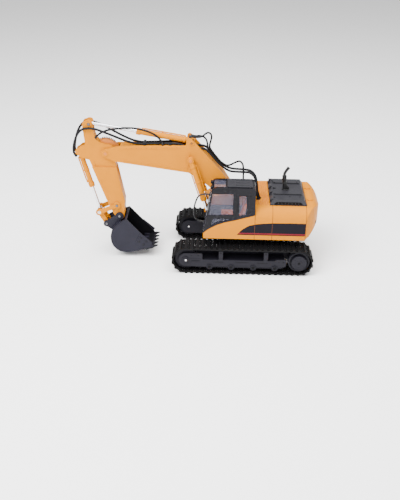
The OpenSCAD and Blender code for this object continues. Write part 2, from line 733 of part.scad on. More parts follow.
module stick_barrel() color(yellow) difference() {
    aimed(stick_base, stick_head) barrel(stick_barrel_len, 5.2, 22, 10);
    cross_pin(stick_base, 1.6, -10, 10);
}

module stick_rod() color(silver) aimed(stick_head, stick_base) piston_rod(108, 9, 5, 2.5);

module bucket_barrel() color(yellow) difference() {
    aimed(bucket_base, rocker_end) barrel(bucket_barrel_len, 4.6, 18, 9);
    cross_pin(bucket_base, 1.6, -10, 10);
}

module bucket_rod() color(silver) aimed(rocker_end, bucket_base) piston_rod(66, 9, 5, 2.5);

module rocker() color(yellow) {
    both_sides() across(12.6, 15.4) difference() {
        union() {
            bar_outline(rocker_pivot, rocker_end, 4);
            disc(rocker_pivot, 6.4);
            disc(rocker_end, 6.4);
        }
        disc(rocker_pivot, 2.5 + fit);
    }
    cross_pin(rocker_end, 2.5, -12.6, 12.6);
}

module bucket_link() color(yellow) difference() {
    union() {
        both_sides() across(7.6, 11.6) bar_outline(rocker_end, link_end, 4.6);
        across(-7.6, 7.6) translate((rocker_end + link_end * 1.1) / 2.1)
            rotate(atan2(-22.5, 13)) square([5, 5], center = true);
    }
    cross_pin(rocker_end, 3.6, -20, 20);
    cross_pin(link_end, 2.2 + fit, -20, 20);
}

bucket_shell = [[-214, 77.5], [-221, 75], [-233, 65], [-242, 53], [-244.5, 42], [-243.5, 31],
    [-240, 22], [-234, 15], [-226, 10.5], [-216, 9], [-204, 10.5], [-183, 16], [-165, 22],
    [-168, 27.5]];
bucket_hollow = [[-210, 79], [-214, 76], [-229, 64], [-239.5, 52], [-242, 42], [-241, 32],
    [-237.6, 23.5], [-232.4, 17.2], [-225, 13], [-216, 11.5], [-204, 13], [-184, 18.5],
    [-168, 23.8], [-150, 30]];

module bucket() color(dark_metal) difference() {
    union() {
        difference() {
            across(-bucket_x, bucket_x) polygon(bucket_shell);
            across(-bucket_x + 2, bucket_x - 2) polygon(bucket_hollow);
            across(-bucket_x + 2, bucket_x - 2) disc(bucket_pivot, 10.5);
        }
        both_sides() across(12.8, 16) {
            bar_outline(bucket_pivot, link_end, 5);
            disc(bucket_pivot, 7.4);
            disc(link_end, 6);
            polygon([link_end + [-5, -3], link_end + [12, -12], bucket_pivot + [2, -12],
                bucket_pivot]);
        }
    }
    cross_pin(bucket_pivot, 2.5 + fit, -20, 20);
    cross_pin(link_end, 2.2, -20, 20);
}

module bucket_pin() color(silver) cross_pin(link_end, 2.2, -17, 17);

tooth_w = 5;
tooth_pitch = (2 * bucket_x - tooth_w - 1) / (tooth_count - 1);
module bucket_teeth() color(black) for (i = [0:tooth_count - 1]) {
    x = -bucket_x + 0.5 + i * tooth_pitch;
    across(x, x + tooth_w) difference() {
        polygon([[-179, 15.2], [-167, 18.6], [-156.2, 24.6], [-167, 25.2], [-179, 22]]);
        polygon(bucket_shell);
    }
}

module side_cutters() color(dark_metal) both_sides() difference() {
    across(bucket_x, bucket_x + 1.6)
        polygon([[-197, 32], [-188, 50], [-166, 31], [-173, 21.5], [-191, 20]]);
    for (p = [[-191, 33], [-183, 27], [-187, 41], [-178, 34]]) cross_pin(p, 1.2, 20, 40);
}

module boom_hoses() color(black) {
    hose(boom_route_a, hose_r);
    hose(boom_route_b, hose_r);
    hose(loop_route, thin_hose_r);
    hose(inner_loop_route, thin_hose_r);
    for (x = [5, -5]) translate([x, clamp_y + 6, 216.2]) cube([5, 4, 4.4], center = true);
}

module deck_hoses() color(black) {
    hose(deck_route_a, hose_r);
    hose(deck_route_b, hose_r);
    hose(small_loop_route, thin_hose_r);
}

module stick_hoses() color(black) {
    hose(stick_route_a, hose_r);
    hose(stick_route_b, hose_r);
    hose(arc_route, thin_hose_r);
}

centre_frame();
swing_ring_gear();
left_track_frame();
right_track_frame();
left_track_belt();
right_track_belt();
drive_motors();
chassis_cover();
chassis_screws();
wheel_axles();
left_sprocket();
right_sprocket();
left_idler();
right_idler();
left_roller(1);  // left_roller_1
left_roller(2);  // left_roller_2
left_roller(3);  // left_roller_3
left_roller(4);  // left_roller_4
right_roller(1);  // right_roller_1
right_roller(2);  // right_roller_2
right_roller(3);  // right_roller_3
right_roller(4);  // right_roller_4
house_floor();
boom_bracket();
left_side_panel();
right_side_panel();
counterweight();
rear_deck();
engine_cover();
exhaust_pipe();
cab_frame();
cab_roof();
cab_windows();
operator_seat();
handrail();
battery_pack();
circuit_board();
swing_motor();
swing_pinion();
power_switch();
boom();
boom_pins();
boom_barrels();
boom_rods();
boom_hoses();
deck_hoses();
stick();
stick_gear();
stick_pins();
stick_barrel();
stick_rod();
stick_hoses();
bucket_barrel();
bucket_rod();
rocker();
bucket_link();
bucket();
bucket_teeth();
side_cutters();
bucket_pin();
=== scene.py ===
import json
import math

import bmesh
import bpy
from mathutils import Matrix, Vector


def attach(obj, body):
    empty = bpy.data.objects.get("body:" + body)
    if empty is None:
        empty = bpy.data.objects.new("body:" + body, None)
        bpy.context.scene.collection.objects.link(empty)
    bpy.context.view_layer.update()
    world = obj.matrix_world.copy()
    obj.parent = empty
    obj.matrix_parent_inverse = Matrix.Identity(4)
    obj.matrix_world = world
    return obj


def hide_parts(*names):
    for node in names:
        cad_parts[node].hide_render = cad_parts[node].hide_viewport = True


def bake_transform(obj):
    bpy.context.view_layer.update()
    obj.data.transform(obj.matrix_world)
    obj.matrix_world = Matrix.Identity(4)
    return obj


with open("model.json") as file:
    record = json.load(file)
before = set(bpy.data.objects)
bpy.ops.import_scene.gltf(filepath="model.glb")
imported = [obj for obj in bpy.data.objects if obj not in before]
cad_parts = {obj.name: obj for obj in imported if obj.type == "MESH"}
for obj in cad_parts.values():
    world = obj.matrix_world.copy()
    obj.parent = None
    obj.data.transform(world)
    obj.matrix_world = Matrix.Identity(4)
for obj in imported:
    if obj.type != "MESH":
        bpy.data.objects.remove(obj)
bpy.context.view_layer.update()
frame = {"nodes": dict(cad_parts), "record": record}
MM = 0.001

# ---------- camera, light and floor ----------

VIEW_ANGLES = (91.04, 27.86, 1.02)  # degrees round from the front, up from level, and rolled
CAMERA_AT = (1321.38, -54.15, 700.76)
FOCAL_PIXELS, FRAME_PIXELS, SENSOR_MM = 781.18, 500, 36
WORLD_STRENGTH = 0.7
FLOOR_HALF = 6  # metres


def add_camera():
    azimuth, elevation, roll = (math.radians(a) for a in VIEW_ANGLES)
    back = Vector((math.sin(azimuth) * math.cos(elevation),
                   -math.cos(azimuth) * math.cos(elevation), math.sin(elevation)))
    right = Vector((math.cos(azimuth), math.sin(azimuth), 0))
    up = back.cross(right)
    turned_right = right * math.cos(roll) + up * math.sin(roll)
    turned_up = up * math.cos(roll) - right * math.sin(roll)
    data = bpy.data.cameras.new("camera")
    data.lens = SENSOR_MM * FOCAL_PIXELS / FRAME_PIXELS
    data.clip_start = 0.01
    camera = bpy.data.objects.new("camera", data)
    bpy.context.scene.collection.objects.link(camera)
    turn = Matrix((turned_right, turned_up, back)).transposed()
    camera.matrix_world = Matrix.Translation(Vector(CAMERA_AT) * MM) @ turn.to_4x4()
    bpy.context.scene.camera = camera


def add_light(name, at, target, size, watts):
    """A white area light. Places and sizes are in metres."""
    data = bpy.data.lights.new(name, "AREA")
    data.shape = "RECTANGLE"
    data.size, data.size_y = size
    data.energy = watts
    light = bpy.data.objects.new(name, data)
    bpy.context.scene.collection.objects.link(light)
    light.location = at
    light.rotation_euler = (Vector(target) - Vector(at)).to_track_quat("-Z", "Y").to_euler()


def add_studio():
    add_light("key_light", (0.9, -0.9, 1.5), (0, 0, 0.08), (1.2, 1.2), 90)
    add_light("top_light", (0.1, 0.2, 1.6), (0, 0, 0.05), (1.6, 1.6), 64)
    add_light("front_light", (1.7, 0.5, 0.45), (0, 0, 0.08), (1.2, 0.9), 14)
    world = bpy.data.worlds.new("studio")
    world.use_nodes = True
    sky = world.node_tree.nodes["Background"]
    sky.inputs["Color"].default_value = (1, 1, 1, 1)
    sky.inputs["Strength"].default_value = WORLD_STRENGTH
    bpy.context.scene.world = world
    bm = bmesh.new()
    bmesh.ops.create_grid(bm, x_segments=8, y_segments=8, size=FLOOR_HALF)
    mesh = bpy.data.meshes.new("floor")
    bm.to_mesh(mesh)
    bm.free()
    floor = bpy.data.objects.new("floor", mesh)
    bpy.context.scene.collection.objects.link(floor)
    mesh.materials.append(finish("floor_white", (0.96, 0.96, 0.96), 0.6, spread=0.005, grain=0.02))


# ---------- materials ----------

PATCH_MM = 18


def finish(name, colour, rough, metal=0.0, spread=0.06, rough_spread=0.08, grain=0.12,
           grain_mm=0.35, coat=0.0, specular=0.5, alpha=1.0, streak=None):
    """A moulded, painted or rolled surface: patches of tone, uneven gloss and a fine grain."""
    material = bpy.data.materials.new(name)
    material.use_nodes = True
    nodes, links = material.node_tree.nodes, material.node_tree.links
    shader = nodes["Principled BSDF"]
    shader.inputs["Metallic"].default_value = metal
    shader.inputs["Specular IOR Level"].default_value = specular
    shader.inputs["Coat Weight"].default_value = coat
    shader.inputs["Coat Roughness"].default_value = 0.12
    shader.inputs["Alpha"].default_value = alpha
    place = nodes.new("ShaderNodeTexCoord")
    stretch = nodes.new("ShaderNodeMapping")
    stretch.inputs["Scale"].default_value = streak or (1, 1, 1)
    links.new(place.outputs["Object"], stretch.inputs["Vector"])

    def noise(size_mm, detail):
        node = nodes.new("ShaderNodeTexNoise")
        node.inputs["Scale"].default_value = 1000 / size_mm
        node.inputs["Detail"].default_value = detail
        links.new(stretch.outputs["Vector"], node.inputs["Vector"])
        return node

    def remap(source, low, high):
        node = nodes.new("ShaderNodeMapRange")
        node.inputs["From Min"].default_value = 0.3
        node.inputs["From Max"].default_value = 0.7
        node.inputs["To Min"].default_value = low
        node.inputs["To Max"].default_value = high
        links.new(source, node.inputs["Value"])
        return node.outputs["Result"]

    patches = noise(PATCH_MM, 3)
    tone = nodes.new("ShaderNodeMix")
    tone.data_type = "RGBA"
    tone.inputs["A"].default_value = (*(c * (1 - spread) for c in colour), 1)
    tone.inputs["B"].default_value = (*(min(1, c * (1 + spread)) for c in colour), 1)
    links.new(remap(patches.outputs["Fac"], 0, 1), tone.inputs["Factor"])
    links.new(tone.outputs["Result"], shader.inputs["Base Color"])
    smudges = noise(PATCH_MM / 4, 4)
    links.new(remap(smudges.outputs["Fac"], max(0.03, rough - rough_spread),
                    min(1, rough + rough_spread)), shader.inputs["Roughness"])
    fine = noise(grain_mm, 2)
    bump = nodes.new("ShaderNodeBump")
    bump.inputs["Strength"].default_value = grain
    bump.inputs["Distance"].default_value = 0.0002
    links.new(fine.outputs["Fac"], bump.inputs["Height"])
    links.new(bump.outputs["Normal"], shader.inputs["Normal"])
    return material


add_camera()
add_studio()

yellow = finish("moulded_yellow", (0.47, 0.158, 0.0), 0.38, spread=0.03, rough_spread=0.04,
                grain=0.08, specular=0.03)
gloss_black = finish("gloss_black", (0.005, 0.0046, 0.0065), 0.26, rough_spread=0.03, grain=0.04,
                     specular=0.12)
frame_black = finish("frame_black", (0.008, 0.0075, 0.011), 0.46, rough_spread=0.04, grain=0.25,
                     specular=0.12)
track_black = finish("track_black", (0.0035, 0.0033, 0.0037), 0.5, grain=0.35, grain_mm=0.5,
                     specular=0.1)
bucket_grey = finish("bucket_grey", (0.011, 0.0105, 0.017), 0.45, spread=0.1, rough_spread=0.04,
                     grain=0.2, specular=0.12)
steel = finish("bright_steel", (0.78, 0.78, 0.80), 0.22, metal=1.0, spread=0.04, grain=0.05,
               streak=(6, 1, 1))
zinc = finish("zinc_screw", (0.62, 0.62, 0.64), 0.35, metal=1.0, grain=0.1)
rubber = finish("hose_rubber", (0.005, 0.005, 0.006), 0.45, grain=0.3, grain_mm=0.5,
                specular=0.12)
glass = finish("clear_window", (0.10, 0.10, 0.145), 0.07, spread=0.04, rough_spread=0.02, grain=0.0,
               alpha=0.22, specular=0.5)
orange = finish("seat_orange", (0.60, 0.13, 0.02), 0.55, grain=0.3)
red = finish("switch_red", (0.55, 0.03, 0.02), 0.35)
stripe_black = finish("stripe_black", (0.006, 0.005, 0.008), 0.34, rough_spread=0.02, grain=0.03,
                      specular=0.06)
stripe_red = finish("stripe_red", (0.15, 0.008, 0.014), 0.34, rough_spread=0.02, grain=0.03,
                    specular=0.08)
can = finish("motor_can", (0.5, 0.5, 0.52), 0.3, metal=1.0)
brass = finish("gear_brass", (0.75, 0.55, 0.25), 0.3, metal=1.0)
nylon = finish("gear_nylon", (0.60, 0.60, 0.58), 0.45)
board = finish("board_green", (0.02, 0.20, 0.06), 0.4)
# near-black, used for real dark parts and as painted shade in recesses, holes, grooves and behind
# grilles
black_and_painted_shade = finish("black_and_painted_shade", (0.002, 0.002, 0.0025), 0.7, grain=0.1, specular=0.1)
cover_grey = finish("cover_grey", (0.016, 0.0155, 0.019), 0.42, rough_spread=0.04, grain=0.35,
                    grain_mm=0.6, specular=0.18)
rubber_black = finish("rubber_black", (0.004, 0.004, 0.0045), 0.42, grain=0.15, specular=0.3)
seam_brown = finish("seam_brown", (0.10, 0.028, 0.006), 0.6, specular=0.2)
gear_yellow = finish("gear_yellow", (0.45, 0.13, 0.010), 0.45, grain=0.1, specular=0.3)
brown_pin = finish("brown_pin", (0.16, 0.055, 0.012), 0.4, metal=0.2)
pin_grey = finish("pin_grey", (0.10, 0.095, 0.10), 0.34, metal=0.7, grain=0.1)
# a darker copy of the bucket grey: painted shade inside the bowl
bucket_painted_shade = finish("bucket_painted_shade", (0.0035, 0.0033, 0.0045), 0.5, grain=0.2, specular=0.1)
bucket_dark = finish("bucket_dark", (0.007, 0.007, 0.009), 0.4, grain=0.2, specular=0.12)
wrap = finish("battery_wrap", (0.05, 0.12, 0.45), 0.3, coat=0.2)

# ---------- mesh tools ----------


def spline(a, b, c, d, t):
    return 0.5 * (2 * b + (c - a) * t + (2 * a - 5 * b + 4 * c - d) * t * t
                  + (3 * b - a - 3 * c + d) * t ** 3)


def smooth(route, steps):
    points = [Vector(p) for p in route]
    last = len(points) - 1
    path = [spline(points[max(i - 1, 0)], points[i], points[i + 1], points[min(i + 2, last)],
                   k / steps) for i in range(last) for k in range(steps)]
    return path + [points[-1]]


def rounded(outline, radius, steps=5):
    """The outline with every corner rounded to the radius, or less where an edge is short."""
    out, count = [], len(outline)
    for i in range(count):
        before, corner, after = (Vector(outline[(i + k) % count]) for k in (-1, 0, 1))
        a, b = before - corner, after - corner
        angle = a.angle(b)
        if angle > math.radians(172):
            out.append(tuple(corner))
            continue
        reach = min(radius / math.tan(angle / 2), a.length * 0.49, b.length * 0.49)
        start, end = corner + a.normalized() * reach, corner + b.normalized() * reach
        for k in range(steps + 1):
            t = k / steps
            out.append(tuple(start * (1 - t) ** 2 + corner * 2 * t * (1 - t) + end * t * t))
    return out


def circle(at, r, sides):
    return [(at[0] + r * math.cos(math.radians(360 * k / sides)),
             at[1] + r * math.sin(math.radians(360 * k / sides))) for k in range(sides)]


def place_along(axis, at=(0, 0, 0)):
    """Turns a shape built along +Z so that it points along axis, and moves it to at."""
    turn = Vector(axis).to_track_quat("Z", "Y").to_matrix().to_4x4()
    return Matrix.Translation(Vector(at)) @ turn


# takes a shape's own X, Y and Z to the part's Y, Z and X
ACROSS = Matrix(((0, 0, 1, 0), (1, 0, 0, 0), (0, 1, 0, 0), (0, 0, 0, 1)))


EDGE_ANGLE = 32  # degrees between faces, above which an edge is bevelled and kept sharp


class Part:
    """Gathers solids, given in mm, into one mesh."""

    def __init__(self):
        self.bm = bmesh.new()

    def solid(self, verts, faces, turn=None):
        made = [self.bm.verts.new((turn @ Vector(v)) if turn else Vector(v)) for v in verts]
        for face in faces:
            self.bm.faces.new([made[i] for i in face])
        return self

    def prism(self, outline, low, high, turn):
        n = len(outline)
        verts = [(*p, low) for p in outline] + [(*p, high) for p in outline]
        walls = [(i, (i + 1) % n, n + (i + 1) % n, n + i) for i in range(n)]
        return self.solid(verts, walls + [tuple(range(n))[::-1], tuple(range(n, 2 * n))], turn)

    def slab(self, outline, x0, x1):
        """An outline of [y, z] points, from x0 to x1."""
        return self.prism(outline, x0, x1, ACROSS)

    def box(self, low, high, r):
        """A box between two corners, with its edges along X rounded."""
        outline = [(low[1], low[2]), (high[1], low[2]), (high[1], high[2]), (low[1], high[2])]
        return self.slab(rounded(outline, r), low[0], high[0])

    def side_box(self, s, x0, x1, low, high, r):
        """A box from x0 to x1 on side s, between two [y, z] corners."""
        x0, x1 = sorted((s * x0, s * x1))
        return self.box((x0, *low), (x1, *high), r)

    def lathe(self, profile, turn, sides=32):
        """Turns a closed profile of (height, radius) points about +Z, then places it."""
        rings = [[(r * math.cos(math.tau * k / sides), r * math.sin(math.tau * k / sides), h)
                  for k in range(sides)] if r > 1e-6 else [(0, 0, h)] for h, r in profile]
        starts, verts = [], []
        for ring in rings:
            starts.append(len(verts))
            verts += ring
        faces = []
        for a in range(len(rings) - 1):
            b = a + 1
            for k in range(sides):
                j = (k + 1) % sides
                low = [starts[a] + (k if len(rings[a]) > 1 else 0),
                       starts[a] + (j if len(rings[a]) > 1 else 0)]
                high = [starts[b] + (j if len(rings[b]) > 1 else 0),
                        starts[b] + (k if len(rings[b]) > 1 else 0)]
                face = list(dict.fromkeys(low + high))
                if len(face) > 2:
                    faces.append(face)
        for end, flip in ((0, True), (len(rings) - 1, False)):
            if len(rings[end]) > 1:
                ring = [starts[end] + k for k in range(sides)]
                faces.append(ring[::-1] if flip else ring)
        return self.solid(verts, faces, turn)

    def disc(self, at, r, x0, x1, bevel=0.4, sides=32, both=False):
        """A round along X with bevelled edges. at is [y, z]."""
        for s in ((1, -1) if both else (1,)):
            low, high = sorted((s * x0, s * x1))
            turn = Matrix.Translation((low, at[0], at[1])) @ ACROSS
            h = high - low
            self.lathe([(0, 0), (0, r - bevel), (bevel, r), (h - bevel, r), (h, r - bevel), (h, 0)],
                       turn, sides)
        return self

    def ring(self, at, outer, inner, x0, x1, sides=32):
        """A ring along X. at is [y, z]."""
        low, high = sorted((x0, x1))
        h, c = high - low, 0.3
        return self.loop([(0, inner), (0, outer - c), (c, outer), (h - c, outer), (h, outer - c),
                          (h, inner)], Matrix.Translation((low, *at)) @ ACROSS, sides)

    def loop(self, profile, turn, sides=32):
        """Turns a closed profile that doesn't reach the axis."""
        n = len(profile)
        verts = [(r * math.cos(math.tau * k / sides), r * math.sin(math.tau * k / sides), h)
                 for h, r in profile for k in range(sides)]
        faces = [(a * sides + k, a * sides + (k + 1) % sides,
                  ((a + 1) % n) * sides + (k + 1) % sides, ((a + 1) % n) * sides + k)
                 for a in range(n) for k in range(sides)]
        return self.solid(verts, faces, turn)

    def tube(self, path, r, sides=14, ends=True):
        """A round tube along a list of points. r is a number, or one radius for each point."""
        path = [Vector(p) for p in path]
        last = len(path) - 1
        radii = r if isinstance(r, (list, tuple)) else [r] * (last + 1)
        verts, out = [], None
        for i, p in enumerate(path):
            along = (path[min(i + 1, last)] - path[max(i - 1, 0)]).normalized()
            if out is None:
                out = along.orthogonal().normalized()
            out = (out - along * out.dot(along)).normalized()
            over = along.cross(out)
            verts += [p + radii[i] * (math.cos(math.tau * k / sides) * out
                                      + math.sin(math.tau * k / sides) * over)
                      for k in range(sides)]
        faces = [(i * sides + k, i * sides + (k + 1) % sides, (i + 1) * sides + (k + 1) % sides,
                  (i + 1) * sides + k) for i in range(last) for k in range(sides)]
        if ends:
            faces += [tuple(range(sides))[::-1], tuple(last * sides + k for k in range(sides))]
        return self.solid(verts, faces)

    def screw(self, at, axis, r, h):
        """A domed screw head."""
        turn = place_along(axis, at)
        self.lathe([(0, 0), (0, r), (h * 0.55, r), (h * 0.9, r * 0.75), (h, r * 0.4), (h, 0)],
                   turn, 20)
        return self

    def hexagon(self, at, axis, r, h):
        """A hexagon nut or bolt head with a chamfer and a washer."""
        turn = place_along(axis, at)
        self.lathe([(0, 0), (0, r * 1.35), (h * 0.2, r * 1.35), (h * 0.2, 0)], turn, 20)
        self.lathe([(h * 0.2, 0), (h * 0.2, r), (h * 0.85, r), (h, r * 0.82), (h, 0)], turn, 6)
        return self

    def make(self, name, body, material, bevel=0.0, segments=2, angle=EDGE_ANGLE, replaces=(),
             slot=None):
        bmesh.ops.transform(self.bm, matrix=Matrix.Scale(MM, 4), verts=self.bm.verts)
        bmesh.ops.recalc_face_normals(self.bm, faces=self.bm.faces)
        return wrap_up(self.bm, name, body, material, bevel, segments, angle, replaces)


def wrap_up(bm, name, body, material, bevel, segments, angle, replaces):
    mesh = bpy.data.meshes.new(name)
    for face in bm.faces:
        face.smooth = True
    bm.to_mesh(mesh)
    bm.free()
    mesh.set_sharp_from_angle(angle=math.radians(angle))
    mesh.materials.append(material)
    piece = bpy.data.objects.new(name, mesh)
    bpy.context.scene.collection.objects.link(piece)
    if bevel:
        mod = piece.modifiers.new("soft_edges", "BEVEL")
        mod.width = bevel * MM
        mod.segments = segments
        mod.limit_method = "ANGLE"
        mod.angle_limit = math.radians(angle)
        mod.harden_normals = True
        mod.use_clamp_overlap = True
        mod.miter_outer = "MITER_ARC"
    if body:
        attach(piece, body)
    if replaces:
        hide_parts(*replaces)
    return piece


body_of_node = {n: b for b, ns in frame["record"]["behaviour"]["bodies"].items() for n in ns}


def refine(node, material, bevel=0.5, segments=2):
    """A cleaned copy of a CAD node with its flat faces joined and its edges softened."""
    bm = bmesh.new()
    bm.from_mesh(frame["nodes"][node].data)
    bmesh.ops.remove_doubles(bm, verts=bm.verts, dist=2e-6)
    bmesh.ops.dissolve_limit(bm, angle_limit=math.radians(0.4), verts=bm.verts, edges=bm.edges)
    return wrap_up(bm, "shaped_" + node, body_of_node[node], material, bevel, segments,
                   EDGE_ANGLE, [node])


def paint(node, material):
    """Gives a carried-over CAD node its procedural material."""
    data = frame["nodes"][node].data
    if not data.materials:
        data.materials.append(material)
    for i in range(len(data.materials)):
        data.materials[i] = material


# ---------- pieces ----------

SIDES = (("left", 1), ("right", -1))

# tracks


def belt_place(s):
    """Place and turn of a point on a belt's pitch line."""
    s %= BELT_LENGTH
    if s < AXLE_Y:
        return s, AXLE_Z - PITCH_R, 0
    if s < AXLE_Y + BELT_ARC:
        a = (s - AXLE_Y) / PITCH_R
        return AXLE_Y + PITCH_R * math.sin(a), AXLE_Z - PITCH_R * math.cos(a), a
    if s < 3 * AXLE_Y + BELT_ARC:
        return 2 * AXLE_Y + BELT_ARC - s, AXLE_Z + PITCH_R, math.pi
    if s < 3 * AXLE_Y + 2 * BELT_ARC:
        a = math.pi + (s - 3 * AXLE_Y - BELT_ARC) / PITCH_R
        return -AXLE_Y + PITCH_R * math.sin(a), AXLE_Z - PITCH_R * math.cos(a), a
    return s - BELT_LENGTH, AXLE_Z - PITCH_R, 0


AXLE_Y, AXLE_Z, PITCH_R, SHOES = 102, 26, 22, 54
BELT_ARC = math.pi * PITCH_R
BELT_LENGTH = 4 * AXLE_Y + 2 * BELT_ARC
SHOE_X, HALF_SHOE = 68, 20
ROLLERS_Y, ROLLER_Z, FRAME_FACE = (-59, -20, 20, 59), 13, 83
HINGES = [(-19.5, -14.6), (-10.8, -5.1), (-1.3, 1.3), (5.1, 10.8), (14.6, 19.5)]
NOTCHES = (-12.7, -3.2, 3.2, 12.7)


def add_belt(name, s):
    belt = Part()
    for i in range(SHOES):
        y, z, a = belt_place(i * BELT_LENGTH / SHOES)
        along, out = (0, math.cos(a), math.sin(a)), (0, math.sin(a), -math.cos(a))
        at = Matrix.Translation((s * SHOE_X, y, z))
        flat = at @ Matrix(((1, 0, 0), along, out)).transposed().to_4x4()
        across = at @ Matrix((along, out, (1, 0, 0))).transposed().to_4x4()
        edge = [(-HALF_SHOE, 4.3), (-HALF_SHOE + 0.5, 4.75)]
        for c in NOTCHES:
            edge += [(c - 1.6, 4.75), (c - 1.6, 3.3), (c + 1.6, 3.3), (c + 1.6, 4.75)]
        edge += [(HALF_SHOE - 0.5, 4.75), (HALF_SHOE, 4.3)]
        belt.prism(edge + [(x, -v) for x, v in reversed(edge)], 0.1, 1.6, flat)
        belt.prism([(-2.9, 1.6), (2.9, 1.6), (2.5, 2.6), (2.1, 4), (-2.1, 4), (-2.5, 2.6)],
                   -HALF_SHOE + 0.4, HALF_SHOE - 0.4, across)
        for x0, x1 in HINGES:
            belt.prism(circle((5.06, 0.3), 1.5, 10), x0, x1, across)
        for x in (-3, 3):
            belt.prism([(-2.6, 0.1), (2.6, 0.1), (1.3, -1.8), (-1.3, -1.8)], x - 1.1, x + 1.1,
                       across)
        for x in (-17.5, 17.5):
            belt.prism(circle((x, 3.9), 0.9, 10), 1.6, 2.1, flat)
            belt.prism(circle((x, -3.9), 0.9, 10), 1.6, 2.1, flat)
    belt.make("belt_shoes_" + name, "undercarriage", track_black, 0.18, 1, angle=25,
              replaces=[name + "_track_belt"])


def add_frame_details(name, s):
    trim, dark = Part(), Part()
    for y in ROLLERS_Y:
        trim.ring((y, ROLLER_Z), 4.9, 3.1, s * 83.5, s * 85.6)
        # a dark disc in each roller hub: painted shade of the hub's recess
        dark.disc((y, ROLLER_Z), 3.1, s * 84.6, s * 85.3, 0.2)
        trim.slab(rounded([(y + 7, 12.6), (y + 32, 12.6), (y + 32, 13.7), (y + 7, 13.7)], 0.3)
                  if y < 59 else rounded([(66, 12.6), (74, 14.4), (74, 15.6), (66, 13.8)], 0.3),
                  *sorted((s * 83.3, s * 84.2)))
    for y0, y1, z in ((-52, -34, 22), (-12, 12, 22.6), (26, 46, 22), (-92, -77, 24.4)):
        dark.side_box(s, FRAME_FACE, 83.65, (y0, z), (y1, z + 0.9), 0.4)
    for z in (27.6, 21.2):
        trim.side_box(s, FRAME_FACE, 84.1, (-94, z), (-76, z + 1.6), 0.6)
    for y, z in ((-92, 34.5), (-80, 34.8), (66, 25), (74, 25)):
        dark.disc((y, z), 1.1, s * FRAME_FACE, s * 83.7, 0.15, 16)
    for y in (-39, 42):
        trim.side_box(s, FRAME_FACE, 84.6, (y - 3.9, 31), (y + 3.9, 45), 1.2)
        dark.disc((y, 41.5), 1.3, s * 84.4, s * 84.9, 0.15, 16)
    trim.ring((-AXLE_Y, AXLE_Z), 5, 2.9, s * 83.5, s * 85.4)
    trim.make(f"frame_trim_{name}", "undercarriage", frame_black, 0.3, 2, slot="frame_black")
    # the near-black pieces are painted shade of the frame's recesses, slots and holes
    dark.make(f"frame_painted_shade_{name}", "undercarriage", black_and_painted_shade, 0.1, 1, slot="frame_black")
    pins = Part()
    pins.lathe([(0, 0), (0, 2), (33.2, 2), (34, 1.5), (34, 0)],
               Matrix.Translation((52.5 if s > 0 else -86.5, -AXLE_Y, AXLE_Z)) @ ACROSS, 24)
    pins.make(f"idler_pin_{name}", "undercarriage", steel, 0.2, slot="bright_metal",
              replaces=["wheel_axles"] if s > 0 else ())
    axles = Part()
    for y in ROLLERS_Y:
        axles.disc((y, ROLLER_Z), 2, s * 52.5, s * 84.4, 0.3, 20)
    axles.make(f"roller_axles_{name}", "undercarriage", frame_black, slot="frame_black")
    hub, centre = Part(), (AXLE_Y, AXLE_Z)
    hub.ring(centre, 19.2, 16.8, s * 80.6, s * 82.4, 40)
    hub.ring(centre, 13.9, 12.2, s * 87.2, s * 87.9, 40)
    hub.ring(centre, 5.6, 2.4, s * 87.3, s * 87.9, 28)
    for k in range(6):
        a = math.radians(60 * k + 20)
        hub.hexagon((s * 87.4, AXLE_Y + 9.2 * math.cos(a), AXLE_Z + 9.2 * math.sin(a)), (s, 0, 0),
                    1.2, 0.6)
    hub.make(f"sprocket_hub_{name}", name + "_sprocket", frame_black, 0.2, slot="frame_black")
    # a dark disc painted in the sprocket's bore as its shade
    hole = Part()
    hole.disc(centre, 2.4, s * 87, s * 87.6, 0.2, 20)
    hole.make(f"sprocket_bore_shade_{name}", name + "_sprocket", black_and_painted_shade, slot="frame_black")


def add_undercarriage():
    for node in ("centre_frame", "chassis_cover"):
        refine(node, frame_black)
    for name, s in SIDES:
        refine(name + "_track_frame", frame_black, bevel=0.6, segments=3)
        add_belt(name, s)
        add_frame_details(name, s)
        refine(name + "_sprocket", frame_black)
        refine(name + "_idler", frame_black)
        for i in range(1, 5):
            refine(f"{name}_roller_{i}", frame_black)
    refine("swing_ring_gear", nylon, bevel=0.15, segments=1)
    refine("drive_motors", can)
    paint("chassis_screws", zinc)
    refine("power_switch", red, bevel=0.3)


# house

STRIPE_TOP = [(-11.3, 75.2), (-6.2, 81.2), (-0.9, 86.2), (5, 90.3), (10.5, 93.2), (20.7, 95.8),
              (32.1, 97.4), (50, 98.8), (80, 99.4), (110, 99.4)]


HOUSE_HALF, SHOULDER_Z, SHOULDER_R = 75, 104, 20


def side_section(y):
    """The side's outline at y, from the lower edge up and over the shoulder."""
    arc = [(HOUSE_HALF - SHOULDER_R + SHOULDER_R * math.cos(math.radians(a)), y,
            SHOULDER_Z + SHOULDER_R * math.sin(math.radians(a))) for a in range(6, 91, 6)]
    return [(HOUSE_HALF, y, 66.4), (HOUSE_HALF, y, SHOULDER_Z)] + arc


def add_side_trim():
    band = rounded(STRIPE_TOP[1:] + [(110, 78.8), (-8.2, 78.8)], 1.4)
    red_band = rounded([(-8.6, 78.6), (110, 78.6), (110, 76.4), (-10.2, 76.4)], 0.6)
    edge = rounded([(-10.6, 76.2), (109.8, 76.2), (109.2, 74.8), (-11.4, 74.6)], 0.4)
    for name, s in SIDES:
        for label, outline, material in (("band", band, stripe_black),
                                         ("red_line", red_band, stripe_red),
                                         ("lower_line", edge, stripe_black)):
            strip = Part()
            strip.slab(outline, *sorted((s * 74.9, s * 75.25)))
            strip.make(f"stripe_{label}_{name}", "house", material, slot="moulded_black")
        seams = Part()
        for y in (19.6, 50.5, 110.2):
            seams.tube([(s * x, at_y, z) for x, at_y, z in side_section(y)], 0.42, 8)
        seams.make(f"panel_seams_{name}", "house", seam_brown, slot="moulded_yellow")


